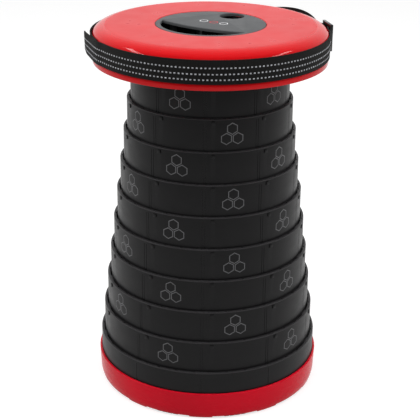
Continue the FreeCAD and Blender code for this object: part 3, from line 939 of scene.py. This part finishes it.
class STOOL_OT_prints(StoolOperator):
    """Lays the printed line motif on every second panel of the sliding rings"""
    bl_idname = "stool.prints"
    bl_label = "Printed motif"

    cell_radius = 6.6 * MM
    line = 0.85 * MM
    spacing = 7.2 * MM
    drop = 17.6 * MM
    height = 0.14 * MM
    stand_off = 3.0 * MM

    def motif(self, ring, number):
        """Three cells in a cluster, wrapped on to the front of a ring."""
        cells = []
        for turn in (90, 210, 330):
            angle = math.radians(turn)
            cell = cell_outline("cell", self.cell_radius, self.line)
            cells.append(moved(cell, Vector((math.cos(angle), math.sin(angle), 0)) * self.spacing))
        motif = joined(cells, "motif")
        motif.rotation_euler.x = math.pi / 2
        middle = node_high(f"ring_{number:02d}") - self.drop
        motif.location = place(ring_radius(number) + self.stand_off, 0, middle)
        settle(motif)
        panel = turned(copied(ring, "panel"), -PANEL_MIDDLE)
        apply_modifier(motif, "SHRINKWRAP", target=panel, wrap_method="PROJECT", use_project_y=True,
                       use_positive_direction=True, use_negative_direction=True)
        bpy.data.objects.remove(panel)
        return apply_modifier(motif, "SOLIDIFY", thickness=self.height, offset=0.0)

    def execute(self, context):
        material = moulded("print_grey")
        for number in range(1, RINGS):
            node = f"ring_{number:02d}"
            motif = self.motif(bpy.data.objects[f"{node}_sleeve"], number)
            first = PANEL_MIDDLE + PANEL_PITCH * (number % 2)
            copies = repeated(turned(motif, first), PANELS // 2)
            finish_piece(joined(copies, f"{node}_print"), material, f"{node}_body", "ring_black")
        return {"FINISHED"}


class STOOL_OT_collar(StoolOperator):
    """Models the collar under the seat that slides in the smallest ring"""
    bl_idname = "stool.collar"
    bl_label = "Collar"

    flange = 3.0 * MM
    hole_radius = 2.3 * MM
    edge = 0.4 * MM

    def execute(self, context):
        low = node_low("seat_collar")
        high = node_high("seat_collar")
        radius = ring_radius(0)
        bore = ring_bore(0)
        flange_bore = hub_radius() + STOOL_OT_seat.hub_gap
        seat = high - STOOL_OT_seat.rib_depth + SLIDE_GAP
        collar = spun("seat_carrier", [
            (bore, low), (radius - self.edge, low), (radius, low + self.edge), (radius, high), (bore, high),
            (bore, seat), (flange_bore, seat), (flange_bore, seat - self.flange), (bore, seat - self.flange),
        ], SPIN_STEPS)
        hole = post("hole", self.hole_radius, seat - 2 * self.flange, seat + self.flange,
                    place((flange_bore + bore) / 2, 0), sides=24)
        carved(collar, repeated(hole, KEYS))
        # The collar's black has the same painted highlight along the rims
        finish_piece(smooth(collar), moulded("ring_black", painted_rim_highlight), "seat", "ring_black", "seat_collar")
        return {"FINISHED"}


class STOOL_OT_cup(StoolOperator):
    """Models the black recess under the grips and dresses the screws"""
    bl_idname = "stool.cup"
    bl_label = "Finger cup"

    bore = 56.0 * MM
    wall = 2.0 * MM
    flange = 6.0 * MM
    lip = 1.2 * MM
    lip_drop = 3.5 * MM
    fillet = 1.6 * MM

    def execute(self, context):
        low = node_low("handle_cup")
        top = node_high("seat_shell")
        outer = self.bore + self.wall
        hub = top - STOOL_OT_seat.hub_height
        floor = low + self.wall
        inside = arc((self.bore - self.fillet, floor + self.fillet), self.fillet, 0, -90, steps=5)
        cup = spun("finger_cup", [
            (0.0, low), (outer, low), (outer, hub - self.wall), (outer + self.flange, hub - self.wall),
            (outer + self.flange, hub), (self.bore + self.lip, hub),
            (self.bore + self.lip, top - self.lip_drop), (self.bore, top - self.lip_drop),
            *inside, (0.0, floor),
        ], SPIN_STEPS // 2)
        finish_piece(smooth(cup), moulded("cup_black"), "seat", "cup_black", "handle_cup")
        plated = zinc()
        for node in ("insert_screws", "collar_screws"):
            dress(node, plated)
        return {"FINISHED"}


class STOOL_OT_base(StoolOperator):
    """Models the red tray with its tucked foot, lobes and ribbed underside"""
    bl_idname = "stool.base"
    bl_label = "Base tray"

    fit = 2.2 * MM
    wall = 2.2 * MM
    under = 2.0 * MM
    floor_top = 9.5 * MM
    floor = 2.5 * MM
    waist = 14.0 * MM
    draft = 0.8 * MM
    tuck = 2.4 * MM
    edge = 0.5 * MM
    lobe_angle = 12.0
    lobe_width = 6.0 * MM
    lobe_drop = 1.6 * MM
    lobe_draft = 0.4 * MM
    rib = 1.8 * MM
    ring_ribs = (28.0 * MM, 72.5 * MM)
    foot_circle = 117.0 * MM
    foot_width = 11.0 * MM
    foot_length = 24.0 * MM
    pad_edge = 0.4 * MM
    groove_width = 0.9 * MM
    groove_depth = 0.6 * MM
    groove_turns = (-3.0, 0.0, 3.0)
    bevel_angle = 40.0

    def outline(self, high):
        """Half section from the middle of the underside round the rim to the middle of the floor."""
        radius = sizes().base_radius
        foot = radius - self.tuck
        waist = radius - self.draft
        bore = radius - self.fit
        points = [(0.0, self.floor_top - self.floor), (foot - self.wall, self.floor_top - self.floor)]
        points += [(foot - self.wall, self.under)]
        points += eased((foot, self.under), (foot + self.draft, self.under + self.wall),
                        (waist, self.waist / 2), (waist, self.waist), steps=12)
        points += arc((radius - self.edge, high - self.edge), self.edge, 0, 90, steps=4)
        points += [(bore, high), (bore, self.floor_top), (0.0, self.floor_top)]
        return points

    def execute(self, context):
        foot = sizes().base_radius - self.tuck
        joint = self.floor_top - self.floor / 2
        tray = spun("base_dish", self.outline(node_high("base_tray")), SPIN_STEPS)
        lobe = spun("lobe", [
            (foot - self.lobe_width, self.under - self.lobe_drop),
            (foot - self.lobe_draft, self.under - self.lobe_drop), (foot - WELD, self.under + WELD),
            (foot - self.wall / 2, joint), (foot - self.lobe_width, joint),
        ], steps=6, angle=self.lobe_angle, azimuth=SEAM_AZIMUTH)
        parts = repeated(bevelled(lobe, self.edge, angle=self.bevel_angle), PANELS)
        low = self.under + WELD
        first = self.ring_ribs[0]
        rib = slab("rib", [(first, low), (foot - self.wall / 2, low), (foot - self.wall / 2, joint),
                           (first, joint)], self.rib, SEAM_AZIMUTH)
        parts += repeated(rib, PANELS)
        hoops = [hoop("ring_rib", reach - self.rib / 2, reach + self.rib / 2, low + WELD, joint + WELD)
                 for reach in self.ring_ribs]
        parts.append(joined(hoops, "ring_ribs"))
        parts += repeated(self.foot_block("seat", low, joint - WELD), PANELS)
        carved(tray, parts, "UNION")
        finish_piece(smooth(tray), moulded("base_red"), "base", "base_red", "base_tray")
        self.add_feet()
        return {"FINISHED"}

    def foot_block(self, name, low, high):
        """Curved block on the feet's circle, in the middle of a panel."""
        half = self.foot_width / 2
        return sector(name, self.foot_circle - half, self.foot_circle + half, low, high, PANEL_MIDDLE,
                      angle_of(self.foot_length, self.foot_circle), steps=6)

    def add_feet(self):
        """Rubber pads with rounded edges and three grooves across each."""
        pad = bevelled(self.foot_block("pad", 0.0, self.under), self.pad_edge, angle=self.bevel_angle)
        grooves = [block("groove", (self.groove_width, 2 * self.foot_width, 2 * self.groove_depth),
                         place(self.foot_circle, PANEL_MIDDLE + turn), PANEL_MIDDLE + turn)
                   for turn in self.groove_turns]
        carved(pad, grooves)
        feet = joined(repeated(pad, PANELS), "feet_pads")
        finish_piece(smooth(feet), moulded("foot_black"), "base", "foot_rubber", "rubber_feet")


class STOOL_OT_strap(StoolOperator):
    """Models the webbing round the seat, its stitch rows, its free end and the slider"""
    bl_idname = "stool.strap"
    bl_label = "Strap"

    lift = 6.6 * MM
    rib_pitch = 1.25 * MM
    rib_swell = 1.13
    edge_swell = 1.005
    edge = 0.45 * MM
    step = 3.0
    seam = (-60.0, -64.0)
    flare_start = -70.0
    tip = (-85.4, 7.0 * MM)
    tail = (-95.0, 11.0 * MM)
    tip_tilt = 0.08
    tip_turn = 15.0
    slant = 22.0 * MM
    hollow = 1.2 * MM
    approach = 7.0
    join_azimuth = 109.9
    back_end = 293.0
    bulge = (113.0, 152.0)
    bulge_out = 5.0 * MM
    bulge_up = 5.2 * MM
    stitch_pitch = 4.2 * MM
    stitch_size = (2.0 * MM, 0.4 * MM, 1.5 * MM)
    stitch_rows = (4.3 * MM, -1.9 * MM, -7.6 * MM)
    stitch_edge = 0.22 * MM
    margin = 1.5 * MM
    slider_azimuth = 103.5
    rail = 3.6 * MM
    slot = 7.2 * MM
    bar = 4.4 * MM
    bar_thickness = 1.8 * MM
    slider_thickness = 3.7 * MM
    rail_lead = 2.4 * MM
    thread_gap = 2.0 * MM
    slider_corner = 1.0 * MM
    slot_edge = 0.35 * MM

    def level(self):
        """Height of the webbing's middle."""
        return node_low("seat_shell") + self.lift + sizes().strap_width / 2

    def middle(self):
        """Radius of the webbing's middle where it lies on the seat."""
        return sizes().seat_radius + SLIDE_GAP + sizes().strap_thickness / 2

    def beside_slider(self, across, out, z=0.0):
        """Point at a distance along the slider's width, away from the axis and up."""
        return direction(self.slider_azimuth + 90.0) * across + place(out, self.slider_azimuth, z)

    def threaded(self):
        """Route under the slider's first rail, over its bar and under its second rail."""
        radius = self.middle()
        inner = radius + sizes().strap_thickness / 2 + self.thread_gap
        high = inner + self.bar_thickness + SLIDE_GAP + sizes().strap_thickness / 2
        far = self.bar / 2 + self.thread_gap
        near = far + self.slot - self.rail_lead
        end = near + self.rail + sizes().strap_thickness
        half = [(end, radius), (near, radius + SLIDE_GAP), (far, high)]
        points = [self.beside_slider(-across, out) for across, out in half]
        return points + [self.beside_slider(across, out) for across, out in reversed(half)]

    def swept(self, radius, start, end):
        """Points on a circle between two azimuths."""
        count = max(1, round(abs(end - start) / self.step))
        return [place(radius, azimuth) for azimuth in spaced(start, end, count)]

    def front_points(self):
        """Route from the free tip round the front and over the slider's bar."""
        radius = self.middle()
        over = radius + sizes().strap_thickness + SLIDE_GAP
        tail = place(sizes().seat_radius + self.tail[1], self.tail[0])
        tip = place(sizes().seat_radius + self.tip[1], self.tip[0])
        flare = place(over, self.flare_start)
        points = [tail, tail.lerp(tip, 0.5), tip, tip.lerp(flare, 0.4), tip.lerp(flare, 0.8)]
        points += self.swept(over, self.flare_start, self.seam[1])
        thread = self.threaded()
        before = self.slider_azimuth - self.approach
        points += self.swept(radius, self.seam[0], before)
        return points + thread + [place(radius, self.join_azimuth)]

    def back_points(self):
        """Route round the rear, with the loose bulge behind the slider."""
        start, end = self.bulge
        count = round((self.back_end - self.join_azimuth) / self.step)
        points = []
        for azimuth in spaced(self.join_azimuth, self.back_end, count):
            share = math.sin(math.pi * min(max((azimuth - start) / (end - start), 0.0), 1.0))
            points.append(place(self.middle() + self.bulge_out * share, azimuth, self.bulge_up * share))
        return points

    def path(self, name, points):
        """Smooth curve along the webbing's middle, and its length."""
        data = bpy.data.curves.new(name, "CURVE")
        data.dimensions = "3D"
        data.twist_mode = "Z_UP"
        data.resolution_u = 6
        spline = data.splines.new("NURBS")
        spline.points.add(len(points) - 1)
        for control, point in zip(spline.points, points):
            control.co = (point.x, point.y, point.z + self.level(), 1.0)
            past_flare = self.flare_start - math.degrees(math.atan2(point.x, -point.y))
            control.tilt = self.tip_tilt * min(max(past_flare / self.tip_turn, 0.0), 1.0)
        spline.order_u = 3
        spline.use_endpoint_u = True
        path = bpy.data.objects.new(name, data)
        bpy.context.scene.collection.objects.link(path)
        line = bpy.data.meshes.new_from_object(path)
        ends = [[line.vertices[index].co for index in edge.vertices] for edge in line.edges]
        length = sum((first - second).length for first, second in ends)
        bpy.data.meshes.remove(line)
        return path, length

    def band(self, name, length):
        """Flat webbing along +X: one cross rib is modelled, opened at both ends and repeated."""
        count = round(length / self.rib_pitch)
        pitch = length / count
        band = block(name, (pitch, sizes().strap_thickness, sizes().strap_width), (pitch / 2, 0, 0))
        edit_edges(band, lambda line, first, second: abs(first.x - second.x) > pitch / 2)
        bpy.ops.mesh.bevel(offset=self.edge, segments=2, affect="EDGES")
        bpy.ops.mesh.select_all(action="SELECT")
        bpy.ops.mesh.bisect(plane_co=(pitch / 2, 0, 0), plane_no=(1, 0, 0))
        leave_edit()
        edit_where(band, "vertices", lambda vertex: abs(vertex.co.x - pitch / 2) < WELD)
        bpy.ops.transform.resize(value=(1.0, self.rib_swell, self.edge_swell),
                                 center_override=(pitch / 2, 0, 0))
        leave_edit()
        edit_where(band, "polygons", lambda face: abs(face.normal.x) > END_NORMAL)
        bpy.ops.mesh.delete(type="ONLY_FACE")
        leave_edit()
        lined_up(band, count, pitch, use_merge_vertices=True, merge_threshold=WELD)
        edit(band)
        bpy.ops.mesh.fill_holes(sides=0)
        leave_edit()
        return band

    def cut_tip(self, band):
        """Cuts the free end on a slant, a little hollow between its two corners."""
        width = sizes().strap_width
        half = math.hypot(self.slant, width) / 2
        radius = (half ** 2 + self.hollow ** 2) / (2 * self.hollow)
        away = Vector((-width, 0, self.slant)).normalized()
        round_tool = post("tip_tool", radius, -width, width, Vector(), sides=256)
        round_tool.rotation_euler.x = math.pi / 2
        round_tool.location = Vector((self.slant / 2, 0, 0)) + away * (radius - self.hollow)
        return carved(band, [settle(round_tool)])

    def stitches(self, name, length, slant):
        """Three rows of short raised stitches on the outer face."""
        size = self.stitch_size
        rows = []
        for height in self.stitch_rows:
            start = self.margin + slant * (height / sizes().strap_width + 0.5)
            stitch = block(name, size, (start + size[0] / 2, -sizes().strap_thickness / 2, height))
            bevelled(stitch, self.stitch_edge, segments=1)
            count = int((length - start - self.margin) / self.stitch_pitch)
            rows.append(lined_up(stitch, count, self.stitch_pitch))
        return joined(rows, name)

    def wrapped(self, piece, path):
        """Gives a flat piece its map in metres, and bends it along a path."""
        layer = piece.data.uv_layers.get("UVMap") or piece.data.uv_layers.new(name="UVMap")
        for loop in piece.data.loops:
            point = piece.data.vertices[loop.vertex_index].co
            layer.data[loop.index].uv = (point.x, point.z)
        return apply_modifier(piece, "CURVE", object=path, deform_axis="POS_X")

    def add_slider(self):
        """Ladder slider with rounded outer edges and a sunk bar between its two slots."""
        low, high = (corner.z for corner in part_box("strap_slider"))
        inner = self.middle() + sizes().strap_thickness / 2 + self.thread_gap
        outer = inner + self.slider_thickness
        width = self.bar + 2 * (self.slot + self.rail)
        azimuth = self.slider_azimuth
        centre = self.beside_slider(0, (inner + outer) / 2, (low + high) / 2)
        slider = block("strap_slide_frame", (width, self.slider_thickness, high - low), centre, azimuth)
        out = direction(azimuth)
        edit_edges(slider, lambda line, *ends: all(end.dot(out) > outer - MM for end in ends))
        bpy.ops.mesh.bevel(offset=self.slider_corner, segments=4, affect="EDGES")
        leave_edit()
        slot_height = sizes().strap_width + 2 * SLIDE_GAP
        tools = []
        for side in (-1, 1):
            middle = self.beside_slider(side * (self.bar + self.slot) / 2, (inner + outer) / 2, self.level())
            tools.append(block("slot", (self.slot, 2 * self.slider_thickness, slot_height), middle, azimuth))
        carved(slider, tools)
        depth = self.slider_thickness - self.bar_thickness
        sunk = self.beside_slider(0, outer + MM - (depth + MM) / 2, self.level())
        size = (self.bar + self.slot, depth + MM, slot_height - WELD)
        carved(slider, [block("sunk", size, sunk, azimuth)])
        bevelled(slider, self.slot_edge, angle=SHARP_ANGLE)
        finish_piece(smooth(slider), moulded("slider_black"), "seat", "slider_black", "strap_slider")

    def execute(self, context):
        cloth = webbing()
        thread = twisted_thread()
        for side, points in (("front", self.front_points()), ("back", self.back_points())):
            slant = self.slant if side == "front" else 0.0
            path, length = self.path(f"{side}_path", points)
            band = self.band(f"{side}_webbing", length)
            if slant:
                self.cut_tip(band)
            rows = self.stitches(f"{side}_stitches", length, slant)
            for piece, material, *nodes in ((band, cloth, f"strap_{side}"), (rows, thread)):
                smooth(self.wrapped(piece, path), SHARP_ANGLE)
                finish_piece(piece, material, "seat", "webbing", *nodes)
            bpy.data.objects.remove(path)
        self.add_slider()
        return {"FINISHED"}


class STOOL_OT_stage(StoolOperator):
    """Adds the pale floor, the soft lights, the world and the camera"""
    bl_idname = "stool.stage"
    bl_label = "Stage"

    floor_size = 12.0
    floor_gap = 0.3 * MM
    camera_place = Vector((0.0, -1.248, 0.6974))
    camera_pitch = 0.381026
    camera_roll = 0.010807
    camera_lens = 101.11
    camera_shift = 0.0029
    sensor = 36.0
    floor_colour = (0.5, 0.5, 0.5)
    floor_glow = 0.66
    fill_strength = 0.5
    front_strength = 0.2
    world_depths = (-0.6, 0.5)

    def pale(self, name):
        """Pale floor with fine grain, white to the camera and in reflections, that keeps shadows."""
        finish = Finish(name, self.floor_colour, 1.0)
        shade = finish.ranged(finish.noise(3.0, 2.0), 0.3, 0.7, 0.0, 1.0)
        finish.colour(finish.mixed(shade, scaled(self.floor_colour, 0.99), self.floor_colour))
        finish.constants(Specular_IOR_Level=0.0)
        glow = finish.add("ShaderNodeEmission")
        seen = finish.seen("Is Camera Ray", "Is Glossy Ray", "Is Transmission Ray")
        finish.feed(glow.inputs["Strength"], finish.maths("MULTIPLY", seen, self.floor_glow))
        both = finish.add("ShaderNodeAddShader", finish.shader.outputs[0], glow.outputs[0])
        finish.feed(finish.output.inputs[0], both.outputs[0])
        return finish.material

    def execute(self, context):
        deselect()
        bpy.ops.mesh.primitive_grid_add(x_subdivisions=8, y_subdivisions=8, size=self.floor_size,
                                        location=(0.0, 0.0, -self.floor_gap))
        floor = named(bpy.context.object, "floor")
        floor.data.materials.append(self.pale("floor_white"))
        self.add_world()
        top = self.add_light("top_light", (0.0, -0.1, 1.9), (0, 0, 0.2), (1.4, 1.4), 15.0)
        top.visible_glossy = False
        self.add_light("left_light", (-1.35, -0.15, 1.28), (0, 0, 0.35), (0.2, 1.2), 9.0, 55.0)
        self.add_light("right_light", (1.35, -0.35, 1.28), (0, 0, 0.35), (0.18, 1.2), 9.0, -55.0)
        bpy.ops.object.camera_add(location=self.camera_place)
        camera = bpy.context.object
        aim = Matrix.Rotation(math.pi / 2 - self.camera_pitch, 4, "X")
        roll = Matrix.Rotation(self.camera_roll, 4, "Z")
        camera.matrix_world = Matrix.Translation(self.camera_place) @ aim @ roll
        camera.data.sensor_width = self.sensor
        camera.data.lens = self.camera_lens
        camera.data.shift_x = self.camera_shift
        context.scene.camera = camera
        context.scene.view_settings.view_transform = "Standard"
        return {"FINISHED"}

    def add_world(self):
        """White to the camera, a dimmer fill as light, and darker towards the front in reflections."""
        world = bpy.data.worlds.new("studio")
        world.use_nodes = True
        calls = NodeCalls(world.node_tree)
        depth = calls.split("Generated")[1]
        mirrored = calls.ranged(depth, *self.world_depths, self.front_strength, 1.0)
        lit = calls.mixed(calls.seen("Is Glossy Ray"), self.fill_strength, mirrored, "FLOAT")
        direct = calls.seen("Is Camera Ray", "Is Transmission Ray")
        background = calls.nodes["Background"]
        background.inputs["Color"].default_value = (1.0, 1.0, 1.0, 1.0)
        calls.feed(background.inputs["Strength"], calls.mixed(direct, lit, 1.0, "FLOAT"))
        bpy.context.scene.world = world

    def add_light(self, name, location, target, size, power, roll=0.0):
        """One soft rectangular lamp that points at a target, rolled about its own axis in degrees."""
        bpy.ops.object.light_add(type="AREA", location=location)
        lamp = bpy.context.object
        lamp.name = name
        lamp.data.shape = "RECTANGLE"
        lamp.data.size, lamp.data.size_y = size
        lamp.data.energy = power
        aim = (Vector(target) - Vector(location)).to_track_quat("-Z", "Y").to_matrix()
        lamp.rotation_euler = (aim @ Matrix.Rotation(math.radians(roll), 3, "Z")).to_euler()
        return lamp


STEPS = (STOOL_OT_seat, STOOL_OT_insert, STOOL_OT_cup, STOOL_OT_collar, STOOL_OT_rings, STOOL_OT_prints,
         STOOL_OT_base, STOOL_OT_strap, STOOL_OT_stage)


class STOOL_PT_pieces(bpy.types.Panel):
    """Sizes, colours and pieces of the stool"""
    bl_idname = "STOOL_PT_pieces"
    bl_label = "Telescopic stool"
    bl_space_type = "VIEW_3D"
    bl_region_type = "UI"
    bl_category = "Stool"

    def draw(self, context):
        for step in STEPS:
            self.layout.operator(step.bl_idname)
        for group in (context.scene.stool_sizes, context.scene.stool_colours):
            for name in type(group).__annotations__:
                self.layout.prop(group, name)


CLASSES = (StoolSizes, StoolColours, *STEPS, STOOL_PT_pieces)


def register():
    for entry in CLASSES:
        bpy.utils.register_class(entry)
    bpy.types.Scene.stool_sizes = bpy.props.PointerProperty(type=StoolSizes)
    bpy.types.Scene.stool_colours = bpy.props.PointerProperty(type=StoolColours)


def unregister():
    del bpy.types.Scene.stool_colours
    del bpy.types.Scene.stool_sizes
    for entry in reversed(CLASSES):
        bpy.utils.unregister_class(entry)


def main():
    register()
    bpy.ops.stool.seat()
    bpy.ops.stool.insert()
    bpy.ops.stool.cup()
    bpy.ops.stool.collar()
    bpy.ops.stool.rings()
    bpy.ops.stool.prints()
    bpy.ops.stool.base()
    bpy.ops.stool.strap()
    bpy.ops.stool.stage()


if __name__ == "__main__":
    main()
